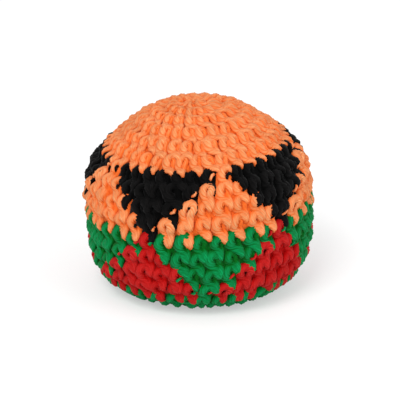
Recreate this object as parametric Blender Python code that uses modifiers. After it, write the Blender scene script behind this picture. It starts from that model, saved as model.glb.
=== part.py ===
"""Crocheted footbag: a soft round bag of cotton yarn filled with loose plastic pellets.

The cover is worked in rounds of single crochet from the middle of the base up to the middle of
the crown. It is divided here as the yarns divide it: an orange crown, a zone of black and orange
triangles, a zone of green and red triangles, and a green base. Each colour area is one solid.

Metres, +Z up. The origin is the middle of the footprint, on the surface that the bag rests on.
"""

import bisect
import math

import bmesh
import bpy
from mathutils import Vector

# Overall size
BAG_WIDTH = 0.0558
CROWN_HEIGHT = 0.0242
BASE_DEPTH = 0.0234
FOOT_RADIUS = 0.0145
LEAN = math.radians(3)

# Cover and what closes it
COVER_THICKNESS = 0.0028
YARN_GAP = 0.0003
STITCH_RELIEF = 0.0005
YARN_RADIUS = 0.0009
RING_RADIUS = 0.0013
KNOT_RADIUS = 0.0022
KNOT_THICKNESS = 0.0024

# Powers of the outline's curves: 2 is an ellipse, and a higher power is squarer. The pinch is how far
# the crown's shoulders are drawn in from such a curve, as a share of their radius
CROWN_SIDE_POWER = 2.0
CROWN_TOP_POWER = 3.4
BASE_POWER = 3.75
SHOULDER_PINCH_SHARE = 0.2

# How much taller than the average the first round at the base is, and how much lower the last one is
ROUND_GROWTH_SHARE = 0.05

# Crochet chart, counted in stitches and rounds. Round 0 starts in the middle of the base
STITCHES_PER_ROUND = 40
REPEATS = 5
BASE_ROUNDS = 6
TRIANGLE_ROUNDS = 4
TRIANGLE_ZONES = 2
CROWN_ROUNDS = 6
STITCHES_IN_WIDEST_ROW = 7
STITCHES_LOST_PER_ROW = 2
DRIFT_SHARE = 0.2
PATTERN_TURN = math.radians(9.9)

# Fineness of the solids
OUTLINE_STEPS = 720
SEARCH_STEPS = 45
SLOPE_SHARE = 0.05
HALVES = 2
KNOT_SEGMENTS = 16
KNOT_RINGS = 8
SHARP_ANGLE = math.radians(50)
MERGE_SHARE = 0.01

# An area gives up a little over half the gap at each side, because rounds narrow away from the widest
EDGE_SHARE = 0.6

# Worked out from the sizes above
HALF_WIDTH = BAG_WIDTH / 2
ROUNDS = BASE_ROUNDS + TRIANGLE_ZONES * TRIANGLE_ROUNDS + CROWN_ROUNDS
MIDDLE_ROUND = BASE_ROUNDS + TRIANGLE_ROUNDS
REPEAT_STITCHES = STITCHES_PER_ROUND / REPEATS
STITCH_WIDTH = math.pi * BAG_WIDTH / STITCHES_PER_ROUND
STITCH_ANGLE = math.tau / STITCHES_PER_ROUND
HOLE_RADIUS = KNOT_RADIUS + YARN_GAP
MERGE_DISTANCE = YARN_GAP * MERGE_SHARE

# Yarn and pellet finishes: colour, roughness
FINISHES = {
    "orange_yarn": ((0.93, 0.27, 0.085, 1), 0.9),
    "black_yarn": ((0.012, 0.011, 0.011, 1), 0.85),
    "green_yarn": ((0.006, 0.25, 0.075, 1), 0.9),
    "red_yarn": ((0.68, 0.016, 0.018, 1), 0.9),
    "pellets": ((0.72, 0.72, 0.68, 1), 0.45),
}


def remove_all_objects():
    """Starts from an empty scene."""
    for thing in list(bpy.data.objects):
        bpy.data.objects.remove(thing, do_unlink=True)


def new_collection(name):
    """A collection for the bag's parts."""
    collection = bpy.data.collections.new(name)
    bpy.context.scene.collection.children.link(collection)
    return collection


def new_material(name):
    """A plain Principled material in a finish's colour and roughness."""
    colour, roughness = FINISHES[name]
    material = bpy.data.materials.new(name)
    material.use_nodes = True
    shader = material.node_tree.nodes["Principled BSDF"]
    shader.inputs["Base Color"].default_value = colour
    shader.inputs["Roughness"].default_value = roughness
    shader.inputs["Metallic"].default_value = 0
    material.diffuse_color = colour
    return material


def quarter_outline(side_power, end_power, height, pinch_share):
    """One quarter of the bag's outline, from its widest place to a pole, as (radius, height)."""
    points = []
    for step in range(OUTLINE_STEPS + 1):
        turn = math.pi / 2 * step / OUTLINE_STEPS
        pinch = 1 - pinch_share * math.sin(2 * turn) ** 2
        across = pinch * max(math.cos(turn), 0) ** (2 / side_power)
        along = math.sin(turn) ** (2 / end_power)
        points.append((HALF_WIDTH * across, height * along))
    points[-1] = (0, height)
    return points


def whole_outline():
    """The outline from the base's pole to the crown's, and the length along it at each point."""
    lower = quarter_outline(BASE_POWER, BASE_POWER, -BASE_DEPTH, 0)
    upper = quarter_outline(CROWN_SIDE_POWER, CROWN_TOP_POWER, CROWN_HEIGHT, SHOULDER_PINCH_SHARE)
    points = lower[::-1] + upper[1:]
    lengths = [0]
    for (r0, z0), (r1, z1) in zip(points, points[1:]):
        lengths.append(lengths[-1] + math.hypot(r1 - r0, z1 - z0))
    return points, lengths


OUTLINE, LENGTHS = whole_outline()
ROUND_HEIGHT = LENGTHS[-1] / ROUNDS


def outline_at(rounds):
    """The outline's (radius, height) a number of rounds up from the middle of the base."""
    climbed = min(max(rounds / ROUNDS, 0), 1)
    length = LENGTHS[-1] * climbed * (1 + ROUND_GROWTH_SHARE * (1 - climbed))
    after = bisect.bisect_left(LENGTHS, length, lo=1, hi=len(LENGTHS) - 1)
    (r0, z0), (r1, z1) = OUTLINE[after - 1], OUTLINE[after]
    share = (length - LENGTHS[after - 1]) / (LENGTHS[after] - LENGTHS[after - 1])
    return r0 + (r1 - r0) * share, z0 + (z1 - z0) * share


def outward_at(rounds):
    """The direction straight out of the bag at a place on its outline, as (sideways, up)."""
    low_radius, low_height = outline_at(rounds - SLOPE_SHARE)
    high_radius, high_height = outline_at(rounds + SLOPE_SHARE)
    sideways, up = high_height - low_height, low_radius - high_radius
    length = math.hypot(sideways, up)
    return sideways / length, up / length


def rounds_at_radius(radius, from_crown):
    """How many rounds up from the base the outline has a radius, on its crown or its base."""
    low, high = (ROUNDS, MIDDLE_ROUND) if from_crown else (0, MIDDLE_ROUND)
    for _ in range(SEARCH_STEPS):
        middle = (low + high) / 2
        if outline_at(middle)[0] < radius:
            low = middle
        else:
            high = middle
    return (low + high) / 2


FOOT_ROUNDS = rounds_at_radius(FOOT_RADIUS, from_crown=False)
FOOT_LEVEL = outline_at(FOOT_ROUNDS)[1]


def wall_point(rounds, depth):
    """The (radius, height) at a depth in the wall, some rounds up from the middle of the base."""
    radius, height = outline_at(rounds)
    sideways, up = outward_at(rounds)
    return max(radius - depth * sideways, 0), height - depth * up


def leaned(point):
    """Where a point of the upright bag goes: the bag leans to -X about its widest place, less and
    less towards the foot, and the foot stands at height 0."""
    rise = min(max(1 - point.z / FOOT_LEVEL, 0), 1)
    turn = LEAN * rise * rise * (3 - 2 * rise)
    x = point.x * math.cos(turn) - point.z * math.sin(turn)
    z = point.x * math.sin(turn) + point.z * math.cos(turn)
    return Vector((x, point.y, z - FOOT_LEVEL))


def on_bag(stitches, rounds, depth):
    """Where a place on the crochet chart lies. Stitches count to the right, seen from the front,
    and each round sits a little to the right of the one below it."""
    radius, height = wall_point(rounds, depth)
    along = stitches + DRIFT_SHARE * (rounds - MIDDLE_ROUND)
    angle = PATTERN_TURN + along * STITCH_ANGLE
    return leaned(Vector((radius * math.sin(angle), -radius * math.cos(angle), height)))


def add_object(name, mesh, collection, material):
    """Adds a finished mesh as one named part, smooth with crisp edges."""
    mesh.name = name
    mesh.materials.clear()
    mesh.materials.append(material)
    mesh.shade_smooth()
    mesh.set_sharp_from_angle(angle=SHARP_ANGLE)
    part = bpy.data.objects.new(name, mesh)
    collection.objects.link(part)
    return part


def mesh_from_primitive():
    """Takes the mesh off the primitive that was just added, and removes its object."""
    primitive = bpy.context.object
    mesh = primitive.data
    mesh.transform(primitive.matrix_world)
    bpy.data.objects.remove(primitive)
    return mesh


def face_outwards(body):
    """Turns all the faces of one closed body outwards."""
    bmesh.ops.recalc_face_normals(body, faces=body.faces)
    if body.calc_volume(signed=True) < 0:
        bmesh.ops.reverse_faces(body, faces=body.faces)


def flat_area(rows):
    """A colour area laid out flat on the chart, lowest row first, as an open sheet in metres."""
    bpy.ops.mesh.primitive_grid_add(
        x_subdivisions=STITCHES_IN_WIDEST_ROW * HALVES, y_subdivisions=len(rows) * HALVES, size=1
    )
    mesh = mesh_from_primitive()
    sheet = bmesh.new()
    sheet.from_mesh(mesh)
    for vertex in sheet.verts:
        vertex.co.x *= STITCHES_IN_WIDEST_ROW * STITCH_WIDTH
        vertex.co.y = (vertex.co.y + 1 / 2) * len(rows) * ROUND_HEIGHT
    outside = []
    for face in sheet.faces:
        middle = face.calc_center_median()
        row = rows[int(middle.y / ROUND_HEIGHT)]
        if abs(middle.x) > row * STITCH_WIDTH / 2:
            outside.append(face)
    bmesh.ops.delete(sheet, geom=outside, context="FACES")
    return mesh, sheet


def trim_edges(sheet):
    """Draws the sheet's edges in, so that neighbouring areas keep a gap."""
    rim = bmesh.ops.inset_region(
        sheet,
        faces=sheet.faces[:],
        thickness=YARN_GAP * EDGE_SHARE,
        use_boundary=True,
        use_even_offset=True,
    )
    bmesh.ops.delete(sheet, geom=rim["faces"], context="FACES")


def in_middle(count):
    """Whether a place, counted in stitches or rounds, lies in the middle half of one."""
    return abs(count % 1 - 1 / 2) < 1 / 4


def sink_between_stitches(sheet):
    """Leaves the middle of each stitch standing and sinks its edges by the relief."""
    for vertex in sheet.verts:
        across = vertex.co.x / STITCH_WIDTH + 1 / 2
        up = vertex.co.y / ROUND_HEIGHT
        vertex.co.z = 0 if in_middle(across) and in_middle(up) else -STITCH_RELIEF


def colour_area(name, rows, first_round, middle, collection, material):
    """A stepped triangle of one yarn: cut flat, given the cover's thickness, wrapped on the bag."""
    mesh, sheet = flat_area(rows)
    trim_edges(sheet)
    sink_between_stitches(sheet)
    inner = bmesh.ops.extrude_face_region(sheet, geom=sheet.faces[:], use_keep_orig=True)
    for vertex in inner["geom"]:
        if isinstance(vertex, bmesh.types.BMVert):
            vertex.co.z = -COVER_THICKNESS
    bmesh.ops.triangulate(sheet, faces=sheet.faces[:], quad_method="FIXED")
    for vertex in sheet.verts:
        stitches = middle + vertex.co.x / STITCH_WIDTH
        rounds = first_round + vertex.co.y / ROUND_HEIGHT
        vertex.co = on_bag(stitches, rounds, -vertex.co.z)
    face_outwards(sheet)
    sheet.to_mesh(mesh)
    sheet.free()
    return add_object(name, mesh, collection, material)


def turned(name, profile, collection, material):
    """A profile turned about the bag's axis by a Screw, and leaned with the bag."""
    mesh = bpy.data.meshes.new(name)
    edges = [(first, (first + 1) % len(profile)) for first in range(len(profile))]
    on_axis = profile[0][0] == 0 and profile[-1][0] == 0
    if on_axis:
        edges.pop()
    mesh.from_pydata([(radius, 0, height) for radius, height in profile], edges, [])
    blank = bpy.data.objects.new(name, mesh)
    collection.objects.link(blank)
    screw = blank.modifiers.new("turn", "SCREW")
    screw.steps = STITCHES_PER_ROUND
    screw.render_steps = STITCHES_PER_ROUND
    screw.use_merge_vertices = True
    screw.merge_threshold = MERGE_DISTANCE
    evaluated = blank.evaluated_get(bpy.context.evaluated_depsgraph_get())
    solid = bpy.data.meshes.new_from_object(evaluated)
    bpy.data.objects.remove(blank)
    bpy.data.meshes.remove(mesh)
    body = bmesh.new()
    body.from_mesh(solid)
    bmesh.ops.remove_doubles(body, verts=body.verts, dist=MERGE_DISTANCE)
    bmesh.ops.triangulate(body, faces=body.faces[:], quad_method="FIXED")
    for vertex in body.verts:
        vertex.co = leaned(vertex.co)
    face_outwards(body)
    body.to_mesh(solid)
    body.free()
    return add_object(name, solid, collection, material)


def half_rounds(first, last):
    """The half rounds that lie between two places, without the places themselves."""
    near = YARN_GAP / ROUND_HEIGHT
    return [
        step / HALVES
        for step in range(ROUNDS * HALVES + 1)
        if first + near < step / HALVES < last - near
    ]


def relief_at(rounds):
    """How deep the surface lies there: nothing in the middle of a round, the relief at its edges."""
    return 0 if in_middle(rounds) else STITCH_RELIEF


def crown(collection, material):
    """The orange crown: a thick domed disc of rounds with a hole for the closing knot."""
    rim = ROUNDS - CROWN_ROUNDS + YARN_GAP * EDGE_SHARE / ROUND_HEIGHT
    hole = rounds_at_radius(HOLE_RADIUS, from_crown=True)
    outer = [wall_point(rim, STITCH_RELIEF)]
    outer += [wall_point(rounds, relief_at(rounds)) for rounds in half_rounds(rim, hole)]
    inner = [wall_point(rim, COVER_THICKNESS)]
    inner += [wall_point(rounds, COVER_THICKNESS) for rounds in half_rounds(rim, hole)[1::HALVES]]
    hole_top = (HOLE_RADIUS, outline_at(hole)[1])
    hole_bottom = (HOLE_RADIUS, wall_point(hole, COVER_THICKNESS)[1])
    profile = [hole_top] + outer[::-1] + inner + [hole_bottom]
    return turned("orange_crown", profile, collection, material)


def base(collection, material):
    """The green base: a thick dished disc with a flat foot and a hole for the starting ring."""
    rim = BASE_ROUNDS - YARN_GAP * EDGE_SHARE / ROUND_HEIGHT
    hole = rounds_at_radius(HOLE_RADIUS, from_crown=False)
    above_foot = half_rounds(FOOT_ROUNDS, rim)
    outer = [(FOOT_RADIUS, FOOT_LEVEL)]
    outer += [wall_point(rounds, relief_at(rounds)) for rounds in above_foot]
    outer = [(radius, max(height, FOOT_LEVEL)) for radius, height in outer]
    outer.append(wall_point(rim, STITCH_RELIEF))
    inner = [wall_point(rounds, COVER_THICKNESS) for rounds in half_rounds(hole, rim)[1::HALVES]]
    inner.append(wall_point(rim, COVER_THICKNESS))
    hole_bottom = (HOLE_RADIUS, FOOT_LEVEL)
    hole_top = (HOLE_RADIUS, wall_point(hole, COVER_THICKNESS)[1])
    profile = outer[::-1] + [hole_bottom, hole_top] + inner
    return turned("green_base", profile, collection, material)


def pellet_fill(collection, material):
    """The packed pellets, as one solid that fills the cover up to a gap, and the starting ring's
    top up to another."""
    depth = COVER_THICKNESS + YARN_GAP
    above_ring = FOOT_LEVEL + 2 * (YARN_RADIUS + YARN_GAP)
    profile = [wall_point(rounds, depth) for rounds in range(ROUNDS, -1, -1)]
    profile = [(radius, max(height, above_ring)) for radius, height in profile]
    profile[0] = (0, profile[0][1])
    profile[-1] = (0, profile[-1][1])
    return turned("pellet_fill", profile, collection, material)


def closing_knot(collection, material):
    """The last stitches of the crown, drawn together into a small flat knot."""
    bpy.ops.mesh.primitive_uv_sphere_add(segments=KNOT_SEGMENTS, ring_count=KNOT_RINGS, radius=1)
    mesh = mesh_from_primitive()
    half = KNOT_THICKNESS / 2
    for vertex in mesh.vertices:
        flat = Vector((vertex.co.x * KNOT_RADIUS, vertex.co.y * KNOT_RADIUS, vertex.co.z * half))
        vertex.co = leaned(flat + Vector((0, 0, CROWN_HEIGHT - half)))
    return add_object("closing_knot", mesh, collection, material)


def starting_ring(collection, material):
    """The ring of yarn that the first round is worked into, just clear of the ground."""
    bpy.ops.mesh.primitive_torus_add(
        major_segments=KNOT_SEGMENTS,
        minor_segments=KNOT_RINGS,
        major_radius=RING_RADIUS,
        minor_radius=YARN_RADIUS,
    )
    mesh = mesh_from_primitive()
    for vertex in mesh.vertices:
        vertex.co = leaned(vertex.co + Vector((0, 0, FOOT_LEVEL + YARN_GAP + YARN_RADIUS)))
    return add_object("starting_ring", mesh, collection, material)


def triangles(collection, materials):
    """The two zones of triangles. An area on its point narrows downwards, and the area between two
    such is its mirror image, half a repeat further on."""
    on_base = [STITCHES_IN_WIDEST_ROW - STITCHES_LOST_PER_ROW * row for row in range(TRIANGLE_ROUNDS)]
    on_point = on_base[::-1]
    upper, lower = MIDDLE_ROUND, BASE_ROUNDS
    half_repeat = REPEAT_STITCHES / 2
    for repeat in range(REPEATS):
        middle = repeat * REPEAT_STITCHES
        number = repeat + 1
        for colour, rows, first_round, shift in (
            ("black", on_point, upper, -half_repeat),
            ("orange", on_base, upper, 0),
            ("red", on_base, lower, -half_repeat),
            ("green", on_point, lower, 0),
        ):
            colour_area(
                f"{colour}_triangle_{number}",
                rows,
                first_round,
                middle + shift,
                collection,
                materials[f"{colour}_yarn"],
            )


def main():
    remove_all_objects()
    collection = new_collection("crocheted_footbag")
    materials = {name: new_material(name) for name in FINISHES}
    crown(collection, materials["orange_yarn"])
    closing_knot(collection, materials["orange_yarn"])
    triangles(collection, materials)
    base(collection, materials["green_yarn"])
    starting_ring(collection, materials["green_yarn"])
    pellet_fill(collection, materials["pellets"])


main()
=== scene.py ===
"""Crocheted footbag in its looks: every stitch of its cover, its closing and its pellets.

Metres, +Z up, in the frame of the packed model. The cover is worked in rounds of single crochet
from the middle of the base to the middle of the crown. One stitch of stranded cotton is modelled
flat, and a copy of it is laid at each place of the crochet chart on the bag's round outline.
"""

import math
import random

import bmesh
import bpy
import numpy as np
from bpy.props import FloatProperty, FloatVectorProperty, IntProperty, PointerProperty
from mathutils import Euler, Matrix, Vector


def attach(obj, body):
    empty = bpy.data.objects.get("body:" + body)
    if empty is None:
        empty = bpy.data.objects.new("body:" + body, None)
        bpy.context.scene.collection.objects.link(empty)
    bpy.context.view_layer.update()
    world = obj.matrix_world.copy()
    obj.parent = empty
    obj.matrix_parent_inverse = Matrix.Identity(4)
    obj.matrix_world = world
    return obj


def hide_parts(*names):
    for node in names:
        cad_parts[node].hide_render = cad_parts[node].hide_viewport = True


bl_info = {
    "name": "Crocheted footbag",
    "version": (1, 0, 0),
    "blender": (4, 5, 0),
    "location": "3D View > Sidebar > Footbag",
    "description": "Crochets a pellet-filled footbag stitch by stitch",
    "category": "Add Mesh",
}

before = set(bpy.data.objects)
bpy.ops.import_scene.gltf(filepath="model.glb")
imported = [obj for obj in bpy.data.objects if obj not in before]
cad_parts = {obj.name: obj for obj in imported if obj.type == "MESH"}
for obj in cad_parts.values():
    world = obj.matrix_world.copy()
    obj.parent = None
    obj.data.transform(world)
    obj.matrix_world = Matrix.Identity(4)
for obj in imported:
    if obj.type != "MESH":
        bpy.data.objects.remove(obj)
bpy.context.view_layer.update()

# Crochet chart, counted in stitches and rounds. Round 0 starts in the middle of the base
STITCHES_PER_ROUND = 40
REPEATS = 5
BASE_COUNTS = (7, 14, 21, 28, 35, 40)
CROWN_COUNTS = (40, 35, 28, 21, 14, 7)
TRIANGLE_ROWS = (7, 5, 3, 1)
BASE_ROUNDS = len(BASE_COUNTS)
TRIANGLE_ROUNDS = len(TRIANGLE_ROWS)
MIDDLE_ROUND = BASE_ROUNDS + TRIANGLE_ROUNDS
CROWN_START = MIDDLE_ROUND + TRIANGLE_ROUNDS
ROUNDS = CROWN_START + len(CROWN_COUNTS)
REPEAT_STITCHES = STITCHES_PER_ROUND // REPEATS

# The outline's curves, as in the solids: a power of 2 is an ellipse, and a higher one is squarer.
# How far the crown's shoulders are drawn in, and how finely the outline is followed
CROWN_SIDE_POWER = 2.0
CROWN_TOP_POWER = 3.4
BASE_POWER = 3.75
SHOULDER_PINCH_SHARE = 0.2
OUTLINE_STEPS = 720

# How much taller the lowest round is than the mean, and the highest one lower, and half the
# stretch, in rounds, that the outline's slope is taken over
ROUND_GROWTH_SHARE = 0.05
SLOPE_SHARE = 0.05

# Each round stands proud like a terrace. This is where the valley lies in a round
VALLEY_SHARE = 0.2

# How near a pole, in rounds, stitches start to crowd, the least radius that their width is taken
# at, in stitches, and how near the ground they are pressed flat
POLE_SHARE = 0.5
LEAST_RADIUS_SHARE = 0.125
FOOT_SOFTNESS = 0.0006

# Places on a yarn's path: shares of a stitch's width to the right and of a round's height up from
# the stitch's middle, the depth of the yarn's core below the bag's surface in yarn radii, and the
# share of its full thickness. A stitch goes from its tip up the left side of its tail, round its
# head and down the right side of its tail
STITCH_PATH_SHARES = (
    (0.49, -1.22, 2.60, 0.30),
    (0.45, -1.04, 0.95, 0.50),
    (0.38, -0.84, 0.50, 0.72),
    (0.27, -0.62, 0.50, 0.98),
    (0.12, -0.46, 0.74, 1.08),
    (-0.05, -0.32, 0.98, 1.12),
    (-0.17, -0.15, 0.95, 1.14),
    (-0.27, 0.03, 0.76, 1.12),
    (-0.29, 0.23, 0.70, 1.10),
    (-0.20, 0.42, 0.74, 1.08),
    (0.00, 0.48, 0.86, 1.06),
    (0.18, 0.40, 1.02, 1.05),
    (0.27, 0.21, 1.12, 1.04),
    (0.27, 0.01, 1.10, 1.04),
    (0.28, -0.18, 1.15, 1.00),
    (0.34, -0.42, 0.82, 0.98),
    (0.41, -0.66, 0.44, 0.84),
    (0.45, -0.88, 0.50, 0.66),
    (0.48, -1.06, 1.05, 0.46),
    (0.50, -1.23, 2.60, 0.30),
)
STITCH_RINGS = 26

# Stitches of the crown have a shorter tail: where it starts, and how much of it is left. They are
# pressed flatter: by how much, and towards which depth, in yarn radii
TAIL_START_SHARE = -0.3
CROWN_TAIL_SHARE = 0.62
CROWN_FLATNESS_SHARE = 0.72
CROWN_TOP_DEPTH = -0.2

# How much further along each round of the crown and the base starts, as a share of a stitch
STAGGER_SHARE = 0.45

# A stitch that begins a shorter row of a triangle stands free: the right side of its head lies on
# top of the tail above. Where on the path that side is, how long it is, and how far it is lifted
FREE_PLACE_SHARE = 0.62
FREE_SPREAD_SHARE = 0.12
FREE_LIFT_SHARE = 0.95

# The other stitches are plump: the left side of a head covers the right side of the stitch before
# it. Where on the path the left side is, how long it is, how far it lies to the right, how much
# thicker it is, and how far the right side sinks
PLUMP_PLACE_SHARE = 0.4
PLUMP_SPREAD_SHARE = 0.14
PLUMP_SHIFT_SHARE = 0.06
PLUMP_THICKNESS_SHARE = 0.28
PLUMP_SINK_SHARE = 0.2

# The yarn that is carried along inside shows at the stitch before each change of colour
CARRIED_PATH_SHARES = (
    (0.04, -0.24, 2.20, 0.30),
    (0.13, -0.12, 0.60, 0.38),
    (0.23, 0.00, 0.10, 0.40),
    (0.32, 0.12, 0.60, 0.38),
    (0.40, 0.26, 2.20, 0.30),
)
CARRIED_RINGS = 8

# The closing knot: a spiral of yarn about the crown's pole, from inside the bag and back into it
KNOT_POINTS = 15
KNOT_TURNS = 1.4
KNOT_END_SHARE = 0.25
KNOT_DIP_SHARE = 1.6
KNOT_DIP_POWER = 4

# The ring that the first round is worked into
RING_POINTS = 16
RING_TWIST = -1

# The strands of a yarn, seen at its end: their number, how deep the dips between them are, how much
# painted shade the dips get, and how much of its thickness a yarn keeps on the bag. A strand has a
# ridge and a dip
STRANDS = 8
CORNERS = 2 * STRANDS
GROOVE_SHARE = 0.17
PAINTED_GROOVE_SHADE_SHARE = 0.5
FLATNESS_SHARE = 0.82

# How far the stitches differ from each other: their turn in radians, their size and place as shares
# of a stitch, their waves, and how far they stand out, in yarn radii
TURN_SPREAD = 0.11
SIZE_SPREAD = 0.055
PLACE_SPREAD = 0.05
WAVE_SHARE = 0.042
LIFT_SPREAD_SHARE = 0.04
LIFT_WAVE_SHARE = 0.08

# How much narrower the yarn gets where stitches crowd: at 1 as much as the stitches do
CROWDING_POWER = 0.7

# Pellets, as a uv sphere's counts and how far they differ, and how finely the wall that they keep
# clear of is followed
PELLET_SEGMENTS = 8
PELLET_RINGS = 5
PELLET_SPREAD_SHARE = 0.04
WALL_STEPS_PER_ROUND = 4

# What the yarn's surface does with light
YARN_FINISH = {
    "Roughness": 0.85,
    "Specular IOR Level": 0.05,
    "Sheen Weight": 0.03,
    "Sheen Roughness": 0.5,
}
PELLET_FINISH = {"Roughness": 0.45, "Subsurface Weight": 0.1, "Subsurface Scale": 0.001}
FIBRE_BUMP = {"Strength": 0.4, "Distance": 0.0001}

# Painted shade between yarns, a darker and more saturated colour: how it comes from the yarn's own,
# and between which depths, in yarn radii, it sets in
PAINTED_SHADE_POWER = 2.4
PAINTED_SHADE_GAIN = 2.5
PAINTED_SHADE_START_SHARE = -0.2
PAINTED_SHADE_END_SHARE = 0.55

# Noise across and along the fibres and in the plastic, and what its lows and highs do to the colour
FIBRE_DENSITY = (500, 3000, 3000)
FIBRE_NOISE = {"Scale": 1, "Detail": 3}
PELLET_NOISE = {"Scale": 700, "Detail": 2}
NOISE_RANGE = (0.25, 0.75)
FIBRE_CONTRAST = (0.82, 1.22)
FIBRE_TINT_RANGE = (0.25, 0.6)
FIBRE_TINT = (0.55, 0)
TONE_CONTRAST = (0.94, 1.06)

# Floor, world and lights: place, size and power of each
FLOOR_SIZE = 8
FLOOR_FINISH = {"Base Color": (0.9, 0.9, 0.9, 1), "Roughness": 0.9}
FLOOR_GLOW_SHARE = 0.45
WORLD_STRENGTH = 0.8
LIGHTS = {
    "key": ((-0.3, -0.7, 0.85), 0.5, 8),
    "fill": ((0.7, -0.45, 0.5), 0.6, 2.5),
}
LIT_HEIGHT = 0.02

# The photograph's frame: its pixel at the bag's distance, and its middle from the bag's middle
PIXEL = 0.0002472
FRAME_RIGHT_PIXELS = 1.0
FRAME_DOWN_PIXELS = 5.2
SENSOR_WIDTH = 36
CLIP_START = 0.01


class FootbagCover(bpy.types.PropertyGroup):
    """Sizes of the cover."""

    bag_width: FloatProperty(
        name="Width", description="Across the widest round", default=0.0558, unit="LENGTH"
    )
    crown_height: FloatProperty(
        name="Crown height", description="From the widest round up to the closing", default=0.0242,
        unit="LENGTH",
    )
    base_depth: FloatProperty(
        name="Base depth", description="From the widest round down to the start", default=0.0234,
        unit="LENGTH",
    )
    foot_radius: FloatProperty(
        name="Foot radius", description="Radius of the flat that the bag rests on", default=0.0145,
        unit="LENGTH",
    )
    lean: FloatProperty(
        name="Lean", description="How far the crown leans to -X", default=math.radians(3),
        subtype="ANGLE",
    )
    pattern_turn: FloatProperty(
        name="Pattern turn", description="How far the pattern is turned about the bag",
        default=math.radians(9.9), subtype="ANGLE",
    )
    drift: FloatProperty(
        name="Drift", description="How many stitches each round sits to the right of the last",
        default=0.2,
    )
    relief: FloatProperty(
        name="Relief", description="Depth of the valleys between rounds", default=0.0003,
        unit="LENGTH",
    )
    lining_depth: FloatProperty(
        name="Lining depth", description="From the surface down to the back of the stitches",
        default=0.001, unit="LENGTH",
    )
    lining_thickness: FloatProperty(
        name="Lining thickness", description="Thickness of the back of the stitches",
        default=0.0007, unit="LENGTH",
    )


class FootbagYarn(bpy.types.PropertyGroup):
    """Sizes and colours of the yarn."""

    radius: FloatProperty(
        name="Radius", description="Half the yarn's thickness", default=0.00106, unit="LENGTH"
    )
    twist: FloatProperty(
        name="Twist", description="Turns of the strands over one stitch", default=-1.8
    )
    knot_radius: FloatProperty(
        name="Knot radius", description="Radius of the closing knot's spiral", default=0.0012,
        unit="LENGTH",
    )
    ring_radius: FloatProperty(
        name="Ring radius", description="Radius of the ring that the first round is worked into",
        default=0.0013, unit="LENGTH",
    )
    seed: IntProperty(name="Seed", description="Seed of the small irregularities", default=7)
    orange: FloatVectorProperty(
        name="Orange", description="Crown and upper triangles", default=(0.59, 0.285, 0.128),
        size=3, subtype="COLOR",
    )
    black: FloatVectorProperty(
        name="Black", description="Upper triangles on their points",
        default=(0.005, 0.0045, 0.0045), size=3, subtype="COLOR",
    )
    green: FloatVectorProperty(
        name="Green", description="Base and lower triangles on their points",
        default=(0.002, 0.25, 0.08), size=3, subtype="COLOR",
    )
    red: FloatVectorProperty(
        name="Red", description="Lower triangles", default=(0.43, 0.018, 0.017),
        size=3, subtype="COLOR",
    )


class FootbagPellets(bpy.types.PropertyGroup):
    """Sizes and colour of the pellets."""

    width: FloatProperty(name="Width", description="Across a pellet", default=0.0042, unit="LENGTH")
    thickness: FloatProperty(
        name="Thickness", description="Through a pellet", default=0.0032, unit="LENGTH"
    )
    pitch: FloatProperty(
        name="Pitch", description="From one pellet's middle to the next one's", default=0.0044,
        unit="LENGTH",
    )
    cover: FloatProperty(
        name="Cover", description="Thickness of the cover round the pellets", default=0.0031,
        unit="LENGTH",
    )
    colour: FloatVectorProperty(
        name="Colour", description="Plain unpigmented plastic", default=(0.72, 0.72, 0.68), size=3,
        subtype="COLOR",
    )


class FootbagStage(bpy.types.PropertyGroup):
    """Place of the camera."""

    distance: FloatProperty(
        name="Distance", description="From the camera to the bag's middle", default=0.593,
        unit="LENGTH",
    )
    elevation: FloatProperty(
        name="Elevation", description="Of the camera above the horizon", default=math.radians(20.8),
        subtype="ANGLE",
    )
    lens: FloatProperty(name="Lens", description="Focal length in millimetres", default=216)


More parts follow.
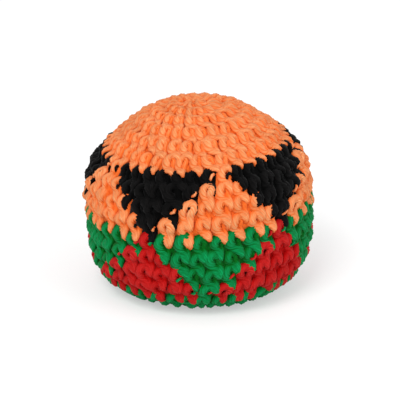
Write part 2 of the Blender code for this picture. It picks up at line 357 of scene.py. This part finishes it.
class Chart:
    """The crochet chart laid on the bag: places in stitches and rounds become points."""

    def __init__(self, cover):
        self.cover = cover
        self.half_width = cover.bag_width / 2
        lower = self.quarter(BASE_POWER, BASE_POWER, -cover.base_depth, 0)[::-1]
        upper = self.quarter(
            CROWN_SIDE_POWER, CROWN_TOP_POWER, cover.crown_height, SHOULDER_PINCH_SHARE
        )
        self.outline = np.concatenate([lower, upper[1:]])
        steps = np.hypot(*np.diff(self.outline, axis=0).T)
        self.lengths = np.concatenate([[0], np.cumsum(steps)])
        self.round_height = self.lengths[-1] / ROUNDS
        self.stitch_width = math.pi * cover.bag_width / STITCHES_PER_ROUND
        below = self.outline[: OUTLINE_STEPS + 1]
        self.foot_level = np.interp(cover.foot_radius, below[:, 0], below[:, 1])

    def quarter(self, side_power, end_power, height, pinch_share):
        """A quarter of the outline, from the widest place to a pole, as (radius, height)."""
        turn = np.linspace(0, math.pi / 2, OUTLINE_STEPS + 1)
        pinch = 1 - pinch_share * np.sin(2 * turn) ** 2
        across = self.half_width * pinch * np.cos(turn).clip(0) ** (2 / side_power)
        across[-1] = 0
        return np.column_stack([across, height * np.sin(turn) ** (2 / end_power)])

    def radius_height(self, rounds):
        """The outline's radius and height, some rounds up from the middle of the base."""
        climbed = np.clip(rounds / ROUNDS, 0, 1)
        length = self.lengths[-1] * climbed * (1 + ROUND_GROWTH_SHARE * (1 - climbed))
        return [np.interp(length, self.lengths, self.outline[:, axis]) for axis in (0, 1)]

    def outward(self, rounds):
        """The direction straight out of the bag there, as (sideways, up)."""
        low_radius, low_height = self.radius_height(rounds - SLOPE_SHARE)
        high_radius, high_height = self.radius_height(rounds + SLOPE_SHARE)
        sideways, up = high_height - low_height, low_radius - high_radius
        length = np.hypot(sideways, up)
        return sideways / length, up / length

    def wall(self, rounds, depth):
        """The radius and height at a depth below the surface."""
        radius, height = self.radius_height(rounds)
        sideways, up = self.outward(rounds)
        return np.maximum(radius - depth * sideways, 0), height - depth * up

    def points(self, stitches, rounds, depth):
        """Where places on the chart lie on the bag, at a depth below its surface."""
        rounds = clear_of_poles(rounds)
        valley = np.cos(math.tau * (rounds - VALLEY_SHARE))
        radius, height = self.wall(rounds, depth + self.cover.relief * valley)
        along = stitches + self.cover.drift * (rounds - MIDDLE_ROUND)
        angle = self.cover.pattern_turn + along * math.tau / STITCHES_PER_ROUND
        upright = np.column_stack([radius * np.sin(angle), -radius * np.cos(angle), height])
        return self.leaned(upright)

    def leaned(self, upright):
        """Leans the upright bag to -X about its widest place, less and less towards the foot, and
        stands the foot at height 0."""
        x, y, z = upright.T
        rise = np.clip(1 - z / self.foot_level, 0, 1)
        turn = self.cover.lean * rise * rise * (3 - 2 * rise)
        height = x * np.sin(turn) + z * np.cos(turn) - self.foot_level
        return np.column_stack([x * np.cos(turn) - z * np.sin(turn), y, settled(height)])

    def width_at(self, rounds):
        """The width of a fortieth of a round there."""
        radius = self.radius_height(clear_of_poles(rounds))[0]
        least = LEAST_RADIUS_SHARE * self.stitch_width
        return math.tau * np.maximum(radius, least) / STITCHES_PER_ROUND


def clear_of_poles(rounds):
    """Draws places near a pole together, so that none passes it."""
    low = POLE_SHARE * np.exp(np.minimum(rounds / POLE_SHARE - 1, 0))
    high = POLE_SHARE * np.exp(np.minimum((ROUNDS - rounds) / POLE_SHARE - 1, 0))
    rounds = np.where(rounds < POLE_SHARE, low, rounds)
    return np.where(rounds > ROUNDS - POLE_SHARE, ROUNDS - high, rounds)


def settled(height):
    """Presses flat what comes near the ground."""
    pressed = FOOT_SOFTNESS * np.exp(np.minimum(height / FOOT_SOFTNESS - 1, 0))
    return np.where(height < FOOT_SOFTNESS, pressed, height)


def smooth_path(points, count):
    """Places at even steps on a smooth curve through the points."""
    points = np.array(points, float)
    padded = np.vstack([2 * points[0] - points[1], points, 2 * points[-1] - points[-2]])
    path = []
    for step in np.linspace(0, len(points) - 1, count):
        first = min(int(step), len(points) - 2)
        t = step - first
        a, b, c, d = padded[first : first + 4]
        cubic = (3 * b - a - 3 * c + d) * t**3 + (2 * a - 5 * b + 4 * c - d) * t**2 + (c - a) * t
        path.append(b + cubic / 2)
    return np.array(path)


def deselect_all():
    """Leaves nothing selected."""
    for thing in bpy.context.selected_objects:
        thing.select_set(False)


def take(thing):
    """Makes one object the only one selected, and the active one."""
    deselect_all()
    thing.select_set(True)
    bpy.context.view_layer.objects.active = thing


def added(name, data):
    """Adds an object with this data to the scene."""
    thing = bpy.data.objects.new(name, data)
    bpy.context.scene.collection.objects.link(thing)
    return thing


def mesh_points(mesh):
    """The mesh's points, as rows of x, y and z."""
    points = np.empty(len(mesh.vertices) * 3, np.float32)
    mesh.vertices.foreach_get("co", points)
    return points.reshape(-1, 3).astype(float)


def move_points(mesh, points):
    """Puts the mesh's points at new places."""
    mesh.vertices.foreach_set("co", points.astype(np.float32).ravel())
    mesh.update()


def strand_profile(yarn):
    """The yarn seen at its end: a round of strands, as a closed curve."""
    bpy.ops.curve.primitive_bezier_circle_add(radius=yarn.radius)
    thing = bpy.context.object
    curve = thing.data
    curve.splines.clear()
    spline = curve.splines.new("POLY")
    spline.points.add(CORNERS - 1)
    for corner, point in enumerate(spline.points):
        turn = math.tau * corner / CORNERS
        reach = yarn.radius * (1 - GROOVE_SHARE * (corner % 2))
        point.co = (reach * math.cos(turn), reach * math.sin(turn), 0, 1)
    spline.use_cyclic_u = True
    return thing


def stranded(name, path, radius_shares, yarn, turns, cyclic=False):
    """A length of twisted yarn along a path, as a closed mesh."""
    deselect_all()
    profile = strand_profile(yarn)
    curve = bpy.data.curves.new(name, "CURVE")
    curve.dimensions = "3D"
    spline = curve.splines.new("POLY")
    spline.points.add(len(path) - 1)
    spline.use_cyclic_u = cyclic
    for step, point in enumerate(spline.points):
        point.co = (*path[step], 1)
        point.radius = radius_shares[step]
        point.tilt = math.tau * turns * step / (len(path) if cyclic else len(path) - 1)
    curve.bevel_mode = "OBJECT"
    curve.bevel_object = profile
    take(added(name, curve))
    bpy.ops.object.convert(target="MESH")
    thing = bpy.context.object
    bpy.ops.object.mode_set(mode="EDIT")
    bpy.ops.mesh.select_all(action="SELECT")
    bpy.ops.mesh.fill_holes(sides=0)
    bpy.ops.mesh.select_all(action="SELECT")
    bpy.ops.mesh.normals_make_consistent(inside=False)
    bpy.ops.mesh.faces_shade_smooth()
    bpy.ops.object.mode_set(mode="OBJECT")
    bpy.data.objects.remove(profile)
    add_yarn_places(thing.data, path, yarn)
    return thing


def add_yarn_places(mesh, path, yarn):
    """Gives each point its place in the straight yarn, and painted shade where it lies between two
    strands.
    """
    steps = np.linalg.norm(np.diff(path, axis=0), axis=1)
    along = np.repeat(np.concatenate([[0], np.cumsum(steps)]), CORNERS)
    turn = math.tau * np.tile(np.arange(CORNERS), len(path)) / CORNERS
    place = np.column_stack([along, yarn.radius * np.cos(turn), yarn.radius * np.sin(turn)])
    fibre = mesh.attributes.new("fibre", "FLOAT_VECTOR", "POINT")
    fibre.data.foreach_set("vector", place.astype(np.float32).ravel())
    set_number(mesh, "painted_shade", painted_groove_shade(len(turn)))
    set_number(mesh, "tone_and_shade", 0)


def painted_groove_shade(count):
    """How much painted shade each point of a yarn has: every second one lies in a dip between
    strands.
    """
    return PAINTED_GROOVE_SHADE_SHARE * (np.arange(count) % 2)


def set_number(mesh, name, values):
    """Gives each point of the mesh a number under a name."""
    attribute = mesh.attributes.get(name) or mesh.attributes.new(name, "FLOAT", "POINT")
    numbers = np.empty(len(mesh.vertices), np.float32)
    numbers[:] = values
    attribute.data.foreach_set("value", numbers)


class Loop:
    """A yarn modelled flat along a path of shares, of which copies are laid on the bag."""

    def __init__(self, chart, yarn, name, path_shares, rings, has_head):
        self.chart = chart
        self.yarn = yarn
        path = smooth_path(path_shares, rings)
        x, y, depth, thickness = path.T
        x, y, z = x * chart.stitch_width, y * chart.round_height, -depth * yarn.radius
        flat = np.column_stack([x, y, z])
        self.object = stranded(name, flat, thickness, yarn, yarn.twist * rings / STITCH_RINGS)
        ring = np.repeat(np.arange(rings), CORNERS)
        self.core = path[ring, :3]
        self.phase = math.tau * ring / rings
        from_left = (ring / rings - PLUMP_PLACE_SHARE) / PLUMP_SPREAD_SHARE
        from_right = (ring / rings - FREE_PLACE_SHARE) / FREE_SPREAD_SHARE
        self.left_side = has_head * np.exp(-(from_left**2))
        self.right_side = has_head * np.exp(-(from_right**2))
        # Painted shade along the dips between strands
        self.painted_shade = painted_groove_shade(len(ring))
        self.offset = mesh_points(self.object.data) - flat[ring]
        self.offset[:, 2] *= FLATNESS_SHARE

    def lay(self, place, wobble, name):
        """Lays a copy at a stitch's place in its round, a little different from the others."""
        along, round_, count, free = place
        chart = self.chart
        middle = round_ + 1 / 2
        wide = STITCHES_PER_ROUND / count
        width = wide * chart.width_at(middle)
        in_crown = round_ >= CROWN_START
        plump = self.left_side * (not free)
        size = 1 + wobble.gauss(0, SIZE_SPREAD)
        turn = wobble.gauss(0, TURN_SPREAD)
        waves = [wobble.uniform(0, math.tau) for _ in range(3)]
        x, y = self.waved_core(width, plump, in_crown, waves)
        x, y = x * math.cos(turn) - y * math.sin(turn), x * math.sin(turn) + y * math.cos(turn)
        x = size * x + wobble.gauss(0, PLACE_SPREAD) * width
        y = size * y + wobble.gauss(0, PLACE_SPREAD) * chart.round_height
        rounds = middle + y / chart.round_height
        offset = self.offset * (size * (1 + PLUMP_THICKNESS_SHARE * plump))[:, None]
        crowding = min(width / chart.stitch_width, 1) ** CROWDING_POWER
        stitches = along + x / width * wide + offset[:, 0] * crowding / chart.width_at(rounds)
        rounds = rounds + offset[:, 1] / chart.round_height
        lift = wobble.gauss(0, LIFT_SPREAD_SHARE) + LIFT_WAVE_SHARE * np.sin(self.phase + waves[2])
        lift = lift + self.right_side * (FREE_LIFT_SHARE if free else -PLUMP_SINK_SHARE)
        lift = lift - PLUMP_THICKNESS_SHARE * plump
        depth = self.core[:, 2] - lift - offset[:, 2] / self.yarn.radius
        if in_crown:
            depth = CROWN_TOP_DEPTH + CROWN_FLATNESS_SHARE * (depth - CROWN_TOP_DEPTH)
        points = chart.points(stitches, rounds, depth * self.yarn.radius)
        return self.copied(name, points, depth, wobble.uniform(-1, 1))

    def waved_core(self, width, plump, in_crown, waves):
        """The uneven line of the yarn's core, flat, with a shorter tail for the crown."""
        x, y = self.core[:, 0], self.core[:, 1]
        tail = CROWN_TAIL_SHARE if in_crown else 1
        x = x + PLUMP_SHIFT_SHARE * plump
        y = y + (tail - 1) * np.minimum(y - TAIL_START_SHARE, 0)
        x = x + WAVE_SHARE * np.sin(2 * self.phase + waves[0])
        y = y + WAVE_SHARE * np.sin(2 * self.phase + waves[1])
        return x * width, y * self.chart.round_height

    def copied(self, name, points, depth, tone_and_shade):
        """A copy with its points at new places. Where it lies deep it gets painted shade."""
        mesh = self.object.data.copy()
        move_points(mesh, points)
        # Painted shade: the deeper a point lies, the more of the darker colour it gets
        shade_depth_share = (depth - PAINTED_SHADE_START_SHARE) / (PAINTED_SHADE_END_SHARE - PAINTED_SHADE_START_SHARE)
        set_number(mesh, "painted_shade", np.maximum(self.painted_shade, np.clip(shade_depth_share, 0, 1)))
        set_number(mesh, "tone_and_shade", tone_and_shade)
        return added(name, mesh)

    def remove(self):
        """Removes the flat model once its copies are laid."""
        mesh = self.object.data
        bpy.data.objects.remove(self.object)
        bpy.data.meshes.remove(mesh)


def full_rounds(first, counts):
    """The stitches of whole rounds, as (place along it, round, stitches in the round, free)."""
    return [
        ((step + stagger(row, count)) * STITCHES_PER_ROUND / count, first + row, count, False)
        for row, count in enumerate(counts)
        for step in range(count)
    ]


def stagger(row, count):
    """How far a round's first stitch is set along. Full rounds stay in line with the triangles."""
    return 0 if count == STITCHES_PER_ROUND else row * STAGGER_SHARE


def triangle_rows(colour, number):
    """The rows of a triangle, as (its middle stitch, round, stitches in the row)."""
    stands_on_base = colour in ("orange", "red")
    rows = TRIANGLE_ROWS if stands_on_base else TRIANGLE_ROWS[::-1]
    first = MIDDLE_ROUND if colour in ("orange", "black") else BASE_ROUNDS
    middle = (number - 1) * REPEAT_STITCHES
    if colour in ("black", "red"):
        middle -= REPEAT_STITCHES / 2
    return [(middle, first + row, count) for row, count in enumerate(rows)]


def triangle_places(rows):
    """The stitches of a triangle's rows. Where rows get shorter, the first of each row is free, but
    not the single stitch at the triangle's point."""
    narrows = rows[0][2] > rows[-1][2]
    places = []
    for middle, round_, count in rows:
        for step in range(count):
            along = middle + step - (count - 1) / 2
            free = narrows and step == 0 and count > 1
            places.append((along, round_, STITCHES_PER_ROUND, free))
    return places


def carried_places(rows):
    """The stitches of another colour that come just before each row of a triangle."""
    return [
        (middle - (count + 1) / 2, round_, STITCHES_PER_ROUND, False)
        for middle, round_, count in rows
    ]


def joined(things, name):
    """Joins meshes into one piece."""
    deselect_all()
    for thing in things:
        thing.select_set(True)
    bpy.context.view_layer.objects.active = things[0]
    bpy.ops.object.join()
    piece = bpy.context.object
    piece.name = name
    piece.data.name = name
    return piece


def chart_sphere():
    """A sphere with a face for each half stitch and half round, and its bmesh."""
    bpy.ops.mesh.primitive_uv_sphere_add(
        segments=2 * STITCHES_PER_ROUND, ring_count=2 * ROUNDS, radius=1
    )
    thing = bpy.context.object
    body = bmesh.new()
    body.from_mesh(thing.data)
    return thing, body


def chart_place(point):
    """The chart place of a point on the unit sphere, as (stitch, round)."""
    rounds = ROUNDS * (1 - math.acos(max(min(point.z, 1), -1)) / math.pi)
    return math.atan2(point.x, -point.y) / math.tau * STITCHES_PER_ROUND, rounds


def lining(chart, places, name):
    """The back of an area's stitches, seen only through their holes. It has the chart's cells that
    the area's stitches stand on, and all of a round that has fewer stitches than the widest one."""
    deselect_all()
    thing, body = chart_sphere()
    thing.name = name
    whole_rounds = {round_ for _, round_, count, _ in places if count != STITCHES_PER_ROUND}
    cells = {(round(along) % STITCHES_PER_ROUND, round_) for along, round_, _, _ in places}
    chart_places = [chart_place(vertex.co) for vertex in body.verts]
    outside = []
    for face in body.faces:
        along, rounds = chart_place(face.calc_center_median().normalized())
        cell = (math.floor(along + 1 / 2) % STITCHES_PER_ROUND, int(rounds))
        if cell not in cells and cell[1] not in whole_rounds:
            outside.append(face)
    layer = body.verts.layers.int.new("place")
    for number, vertex in enumerate(body.verts):
        vertex[layer] = number
    bmesh.ops.delete(body, geom=outside, context="FACES")
    inner = bmesh.ops.extrude_face_region(body, geom=body.faces[:], use_keep_orig=True)
    deep = {part for part in inner["geom"] if isinstance(part, bmesh.types.BMVert)}
    stitches, rounds = np.array([chart_places[vertex[layer]] for vertex in body.verts]).T
    is_deep = np.array([vertex in deep for vertex in body.verts])
    depth = chart.cover.lining_depth + chart.cover.lining_thickness * is_deep
    for vertex, point in zip(body.verts, chart.points(stitches, rounds, depth)):
        vertex.co = point
    bmesh.ops.recalc_face_normals(body, faces=body.faces)
    body.verts.layers.int.remove(layer)
    body.to_mesh(thing.data)
    body.free()
    thing.data.shade_smooth()
    # The lining gets the full painted shade, and its tone is set lowest, which paints it darker
    # still
    set_number(thing.data, "painted_shade", 1)
    set_number(thing.data, "tone_and_shade", -1)
    return thing


def add_node(material, kind, settings=None, inputs=None):
    """Adds a node to a material, with its settings and the values of its inputs."""
    node = material.node_tree.nodes.new(kind)
    for name, value in (settings or {}).items():
        setattr(node, name, value)
    for name, value in (inputs or {}).items():
        node.inputs[name].default_value = value
    return node


def contrast(material, source, source_range, result_range):
    """Spreads a number from one range to another."""
    ends = zip(("From Min", "From Max", "To Min", "To Max"), (*source_range, *result_range))
    node = add_node(material, "ShaderNodeMapRange", inputs=dict(ends))
    material.node_tree.links.new(source, node.inputs["Value"])
    return node.outputs["Result"]


def combined(holder, operation, first, second):
    """Adds or multiplies two numbers, or takes the larger."""
    node = add_node(holder, "ShaderNodeMath", {"operation": operation})
    holder.node_tree.links.new(first, node.inputs[0])
    holder.node_tree.links.new(second, node.inputs[1])
    return node.outputs["Value"]


def principled(name, finish):
    """A material with one Principled shader."""
    material = bpy.data.materials.new(name)
    material.use_nodes = True
    shader = material.node_tree.nodes["Principled BSDF"]
    for label, value in finish.items():
        shader.inputs[label].default_value = value
    return material, shader


def painted_shade_colour(colour):
    """Painted shade deep between yarns: a darker, more saturated colour, where light has met the
    cotton more often.
    """
    return (*[min(PAINTED_SHADE_GAIN * part**PAINTED_SHADE_POWER, 1) for part in colour], 1)


def yarn_material(colour_name, colour):
    """Cotton yarn: fine fibres along the strands, and painted shade, a darker colour, between them.
    """
    name = colour_name + "_cotton"
    if name in bpy.data.materials:
        return bpy.data.materials[name]
    material, shader = principled(name, YARN_FINISH)
    links = material.node_tree.links
    fibre = add_node(material, "ShaderNodeAttribute", {"attribute_name": "fibre"})
    stretch = add_node(material, "ShaderNodeMapping", inputs={"Scale": FIBRE_DENSITY})
    noise = add_node(material, "ShaderNodeTexNoise", inputs=FIBRE_NOISE)
    links.new(fibre.outputs["Vector"], stretch.inputs["Vector"])
    links.new(stretch.outputs["Vector"], noise.inputs["Vector"])
    # Painted shade: the colour is mixed towards a darker, more saturated one by the painted shade
    # attribute; the fibre noise adds darker fibres too
    painted_shade = add_node(material, "ShaderNodeAttribute", {"attribute_name": "painted_shade"})
    tone_and_shade = add_node(material, "ShaderNodeAttribute", {"attribute_name": "tone_and_shade"})
    painted_shade_mix = add_node(
        material, "ShaderNodeMix", {"data_type": "RGBA"}, {"A": (*colour, 1), "B": painted_shade_colour(colour)}
    )
    fibre_tint = contrast(material, noise.outputs["Fac"], FIBRE_TINT_RANGE, FIBRE_TINT)
    links.new(combined(material, "ADD", painted_shade.outputs["Fac"], fibre_tint), painted_shade_mix.inputs["Factor"])
    fibres = contrast(material, noise.outputs["Fac"], NOISE_RANGE, FIBRE_CONTRAST)
    # The tone differs at random between stitches; the lining's lowest tone is painted shade
    tones_and_shade = contrast(material, tone_and_shade.outputs["Fac"], (-1, 1), TONE_CONTRAST)
    shade = add_node(material, "ShaderNodeHueSaturation")
    links.new(painted_shade_mix.outputs["Result"], shade.inputs["Color"])
    links.new(combined(material, "MULTIPLY", fibres, tones_and_shade), shade.inputs["Value"])
    links.new(shade.outputs["Color"], shader.inputs["Base Color"])
    bump = add_node(material, "ShaderNodeBump", inputs=FIBRE_BUMP)
    links.new(noise.outputs["Fac"], bump.inputs["Height"])
    links.new(bump.outputs["Normal"], shader.inputs["Normal"])
    return material


def pellet_material(colour):
    """Cloudy plastic."""
    material, shader = principled("pellet_plastic", PELLET_FINISH)
    links = material.node_tree.links
    place = add_node(material, "ShaderNodeTexCoord")
    noise = add_node(material, "ShaderNodeTexNoise", inputs=PELLET_NOISE)
    links.new(place.outputs["Object"], noise.inputs["Vector"])
    shade = add_node(material, "ShaderNodeHueSaturation", inputs={"Color": (*colour, 1)})
    clouds = contrast(material, noise.outputs["Fac"], NOISE_RANGE, TONE_CONTRAST)
    links.new(clouds, shade.inputs["Value"])
    links.new(shade.outputs["Color"], shader.inputs["Base Color"])
    return material


def stand_for(piece, node, material):
    """Gives a finished piece its material, and puts it in place of its node in the frame."""
    piece.data.materials.clear()
    piece.data.materials.append(material)
    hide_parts(node)
    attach(piece, "root")


def crochet(context, node, colour, places, carried=()):
    """Crochets one colour area, stitch by stitch, in place of its solid."""
    cover, yarn = context.scene.footbag_cover, context.scene.footbag_yarn
    chart = Chart(cover)
    wobble = random.Random(f"{yarn.seed} {node}")
    stitch = Loop(chart, yarn, "stitch", STITCH_PATH_SHARES, STITCH_RINGS, has_head=True)
    things = [stitch.lay(place, wobble, node) for place in places]
    stitch.remove()
    if carried:
        peek = Loop(chart, yarn, "carried_yarn", CARRIED_PATH_SHARES, CARRIED_RINGS, has_head=False)
        things += [peek.lay(place, wobble, node) for place in carried]
        peek.remove()
    things.append(lining(chart, places, node))
    piece = joined(things, node + "_crochet")
    stand_for(piece, node, yarn_material(colour, getattr(yarn, colour)))


class FOOTBAG_OT_crown(bpy.types.Operator):
    """Crochet the orange crown"""

    bl_idname = "footbag.crown"
    bl_label = "Crown"

    def execute(self, context):
        crochet(context, "orange_crown", "orange", full_rounds(CROWN_START, CROWN_COUNTS))
        return {"FINISHED"}


class FOOTBAG_OT_triangles(bpy.types.Operator):
    """Crochet the two zones of triangles"""

    bl_idname = "footbag.triangles"
    bl_label = "Triangles"

    def execute(self, context):
        for colour in ("black", "orange", "red", "green"):
            for number in range(1, REPEATS + 1):
                rows = triangle_rows(colour, number)
                node = f"{colour}_triangle_{number}"
                crochet(context, node, colour, triangle_places(rows), carried_places(rows))
        return {"FINISHED"}


class FOOTBAG_OT_base(bpy.types.Operator):
    """Crochet the green base"""

    bl_idname = "footbag.base"
    bl_label = "Base"

    def execute(self, context):
        crochet(context, "green_base", "green", full_rounds(0, BASE_COUNTS))
        return {"FINISHED"}


class FOOTBAG_OT_knot(bpy.types.Operator):
    """Close the crown with a small flat knot"""

    bl_idname = "footbag.knot"
    bl_label = "Closing knot"

    def execute(self, context):
        cover, yarn = context.scene.footbag_cover, context.scene.footbag_yarn
        step = np.linspace(0, 1, KNOT_POINTS)
        turn = math.tau * KNOT_TURNS * step
        reach = yarn.knot_radius * (1 - (1 - KNOT_END_SHARE) * step)
        dip = KNOT_DIP_SHARE * (2 * step - 1) ** KNOT_DIP_POWER
        height = cover.crown_height - yarn.radius * (1 + dip)
        path = np.column_stack([reach * np.cos(turn), reach * np.sin(turn), height])
        piece = stranded("closing_knot_yarn", path, np.ones(KNOT_POINTS), yarn, yarn.twist)
        move_points(piece.data, Chart(cover).leaned(mesh_points(piece.data)))
        stand_for(piece, "closing_knot", yarn_material("orange", yarn.orange))
        return {"FINISHED"}


class FOOTBAG_OT_ring(bpy.types.Operator):
    """Lay the ring that the first round is worked into"""

    bl_idname = "footbag.ring"
    bl_label = "Starting ring"

    def execute(self, context):
        cover, yarn = context.scene.footbag_cover, context.scene.footbag_yarn
        chart = Chart(cover)
        turn = math.tau * np.arange(RING_POINTS) / RING_POINTS
        x, y = yarn.ring_radius * np.cos(turn), yarn.ring_radius * np.sin(turn)
        z = np.full(RING_POINTS, chart.foot_level + FOOT_SOFTNESS + yarn.radius)
        path = np.column_stack([x, y, z])
        thickness = np.ones(RING_POINTS)
        piece = stranded("starting_ring_yarn", path, thickness, yarn, RING_TWIST, cyclic=True)
        move_points(piece.data, chart.leaned(mesh_points(piece.data)))
        stand_for(piece, "starting_ring", yarn_material("green", yarn.green))
        return {"FINISHED"}


class FOOTBAG_OT_pellets(bpy.types.Operator):
    """Fill the bag with pellets"""

    bl_idname = "footbag.pellets"
    bl_label = "Pellets"

    def execute(self, context):
        pellets, seed = context.scene.footbag_pellets, context.scene.footbag_yarn.seed
        chart = Chart(context.scene.footbag_cover)
        deselect_all()
        bpy.ops.mesh.primitive_uv_sphere_add(
            segments=PELLET_SEGMENTS, ring_count=PELLET_RINGS, radius=pellets.width / 2
        )
        model = bpy.context.object
        model.scale.z = pellets.thickness / pellets.width
        bpy.ops.object.transform_apply(location=False, rotation=False, scale=True)
        model.data.shade_smooth()
        wobble = random.Random(f"{seed} pellets")
        flat = mesh_points(model.data)
        things = []
        for middle in pellet_places(chart, pellets):
            size = 1 - wobble.uniform(0, PELLET_SPREAD_SHARE)
            turn = Euler([wobble.uniform(0, math.tau) for _ in range(3)]).to_matrix()
            mesh = model.data.copy()
            place = chart.leaned(np.array([middle]))
            move_points(mesh, size * flat @ np.array(turn).T + place)
            things.append(added("pellet", mesh))
        bpy.data.objects.remove(model)
        piece = joined(things, "pellet_filling")
        stand_for(piece, "pellet_fill", pellet_material(pellets.colour))
        return {"FINISHED"}


def pellet_places(chart, pellets):
    """The middles of pellets packed in staggered layers inside the cover, like stacked balls."""
    rounds = np.linspace(0, ROUNDS, WALL_STEPS_PER_ROUND * ROUNDS + 1)
    inner_radius, inner_height = chart.wall(rounds, pellets.cover + pellets.width / 2)
    order = np.argsort(inner_height)
    layer_height = pellets.pitch * math.sqrt(2 / 3)
    row_depth = pellets.pitch * math.sqrt(3) / 2
    half = int(chart.half_width / row_depth) + 1
    places = []
    for layer in range(int((inner_height.max() - inner_height.min()) / layer_height) + 1):
        height = inner_height.min() + layer * layer_height
        reach = np.interp(height, inner_height[order], inner_radius[order])
        shift = layer % 2
        for row in range(-half, half + 1):
            y = (row + shift / 3) * row_depth
            for step in range(-half, half + 1):
                x = (step + (row % 2) / 2 + shift / 2) * pellets.pitch
                if math.hypot(x, y) < reach:
                    places.append((x, y, height))
    return places


class FOOTBAG_OT_stage(bpy.types.Operator):
    """Add the floor, the lights and the camera"""

    bl_idname = "footbag.stage"
    bl_label = "Stage"

    def execute(self, context):
        add_floor()
        add_light(context.scene)
        add_camera(context.scene)
        context.scene.view_settings.view_transform = "Standard"
        return {"FINISHED"}


def seen(holder, strengths):
    """One strength for rays that only light things, and another for rays that show the stage."""
    path = add_node(holder, "ShaderNodeLightPath")
    total = path.outputs["Is Camera Ray"]
    for ray in ("Is Glossy Ray", "Is Transmission Ray"):
        total = combined(holder, "MAXIMUM", total, path.outputs[ray])
    return contrast(holder, total, (0, 1), strengths)


def add_floor():
    """A plain pale floor, which glows a little, so that it is as white as the photograph's."""
    deselect_all()
    bpy.ops.mesh.primitive_plane_add(size=FLOOR_SIZE)
    floor = bpy.context.object
    floor.name = "floor"
    material, shader = principled("pale_floor", FLOOR_FINISH)
    glow = add_node(material, "ShaderNodeEmission", inputs={"Strength": 1})
    mix = add_node(material, "ShaderNodeMixShader")
    links = material.node_tree.links
    links.new(seen(material, (0, FLOOR_GLOW_SHARE)), mix.inputs["Fac"])
    links.new(shader.outputs["BSDF"], mix.inputs[1])
    links.new(glow.outputs["Emission"], mix.inputs[2])
    links.new(mix.outputs["Shader"], material.node_tree.nodes["Material Output"].inputs["Surface"])
    floor.data.materials.append(material)


def add_light(scene):
    """Soft studio light: a pale world, a broad key light from the upper left and a weak fill."""
    world = bpy.data.worlds.new("pale_world")
    scene.world = world
    world.use_nodes = True
    background = world.node_tree.nodes["Background"]
    background.inputs["Color"].default_value = (1, 1, 1, 1)
    world.node_tree.links.new(seen(world, (WORLD_STRENGTH, 1)), background.inputs["Strength"])
    for name, (place, size, power) in LIGHTS.items():
        deselect_all()
        bpy.ops.object.light_add(type="AREA", location=place)
        lamp = bpy.context.object
        lamp.name = name
        lamp.data.size = size
        lamp.data.energy = power
        aim = Vector((0, 0, LIT_HEIGHT)) - Vector(place)
        lamp.rotation_euler = aim.to_track_quat("-Z", "Y").to_euler()


def add_camera(scene):
    """A camera where the photograph was taken from."""
    stage = scene.footbag_stage
    middle = Vector((0, 0, -Chart(scene.footbag_cover).foot_level))
    back = Vector((0, -math.cos(stage.elevation), math.sin(stage.elevation)))
    up = Vector((0, math.sin(stage.elevation), math.cos(stage.elevation)))
    right = Vector((1, 0, 0))
    aim = middle + PIXEL * (FRAME_RIGHT_PIXELS * right - FRAME_DOWN_PIXELS * up)
    deselect_all()
    bpy.ops.object.camera_add(location=aim + back * stage.distance)
    camera = bpy.context.object
    camera.name = "camera"
    camera.rotation_euler = (-back).to_track_quat("-Z", "Y").to_euler()
    camera.data.lens = stage.lens
    camera.data.sensor_width = SENSOR_WIDTH
    camera.data.clip_start = CLIP_START
    scene.camera = camera


class FOOTBAG_PT_panel(bpy.types.Panel):
    """The footbag's sizes and the buttons that make it"""

    bl_idname = "FOOTBAG_PT_panel"
    bl_label = "Crocheted footbag"
    bl_space_type = "VIEW_3D"
    bl_region_type = "UI"
    bl_category = "Footbag"

    def draw(self, context):
        layout = self.layout
        for label, group in GROUPS.items():
            values = getattr(context.scene, label)
            box = layout.box()
            box.label(text=group.__doc__)
            for name in group.__annotations__:
                box.prop(values, name)
        for operator in OPERATORS:
            layout.operator(operator.bl_idname)


GROUPS = {
    "footbag_cover": FootbagCover,
    "footbag_yarn": FootbagYarn,
    "footbag_pellets": FootbagPellets,
    "footbag_stage": FootbagStage,
}
OPERATORS = (
    FOOTBAG_OT_crown,
    FOOTBAG_OT_triangles,
    FOOTBAG_OT_base,
    FOOTBAG_OT_knot,
    FOOTBAG_OT_ring,
    FOOTBAG_OT_pellets,
    FOOTBAG_OT_stage,
)
CLASSES = (*GROUPS.values(), *OPERATORS, FOOTBAG_PT_panel)


def register():
    """Registers the add-on's classes and properties."""
    for cls in CLASSES:
        bpy.utils.register_class(cls)
    for label, group in GROUPS.items():
        setattr(bpy.types.Scene, label, PointerProperty(type=group))


def unregister():
    """Takes the add-on's classes and properties away again."""
    for label in GROUPS:
        delattr(bpy.types.Scene, label)
    for cls in reversed(CLASSES):
        bpy.utils.unregister_class(cls)


def main():
    """Makes the footbag and its stage."""
    register()
    bpy.ops.footbag.crown()
    bpy.ops.footbag.triangles()
    bpy.ops.footbag.base()
    bpy.ops.footbag.knot()
    bpy.ops.footbag.ring()
    bpy.ops.footbag.pellets()
    bpy.ops.footbag.stage()


if __name__ == "__main__":
    main()
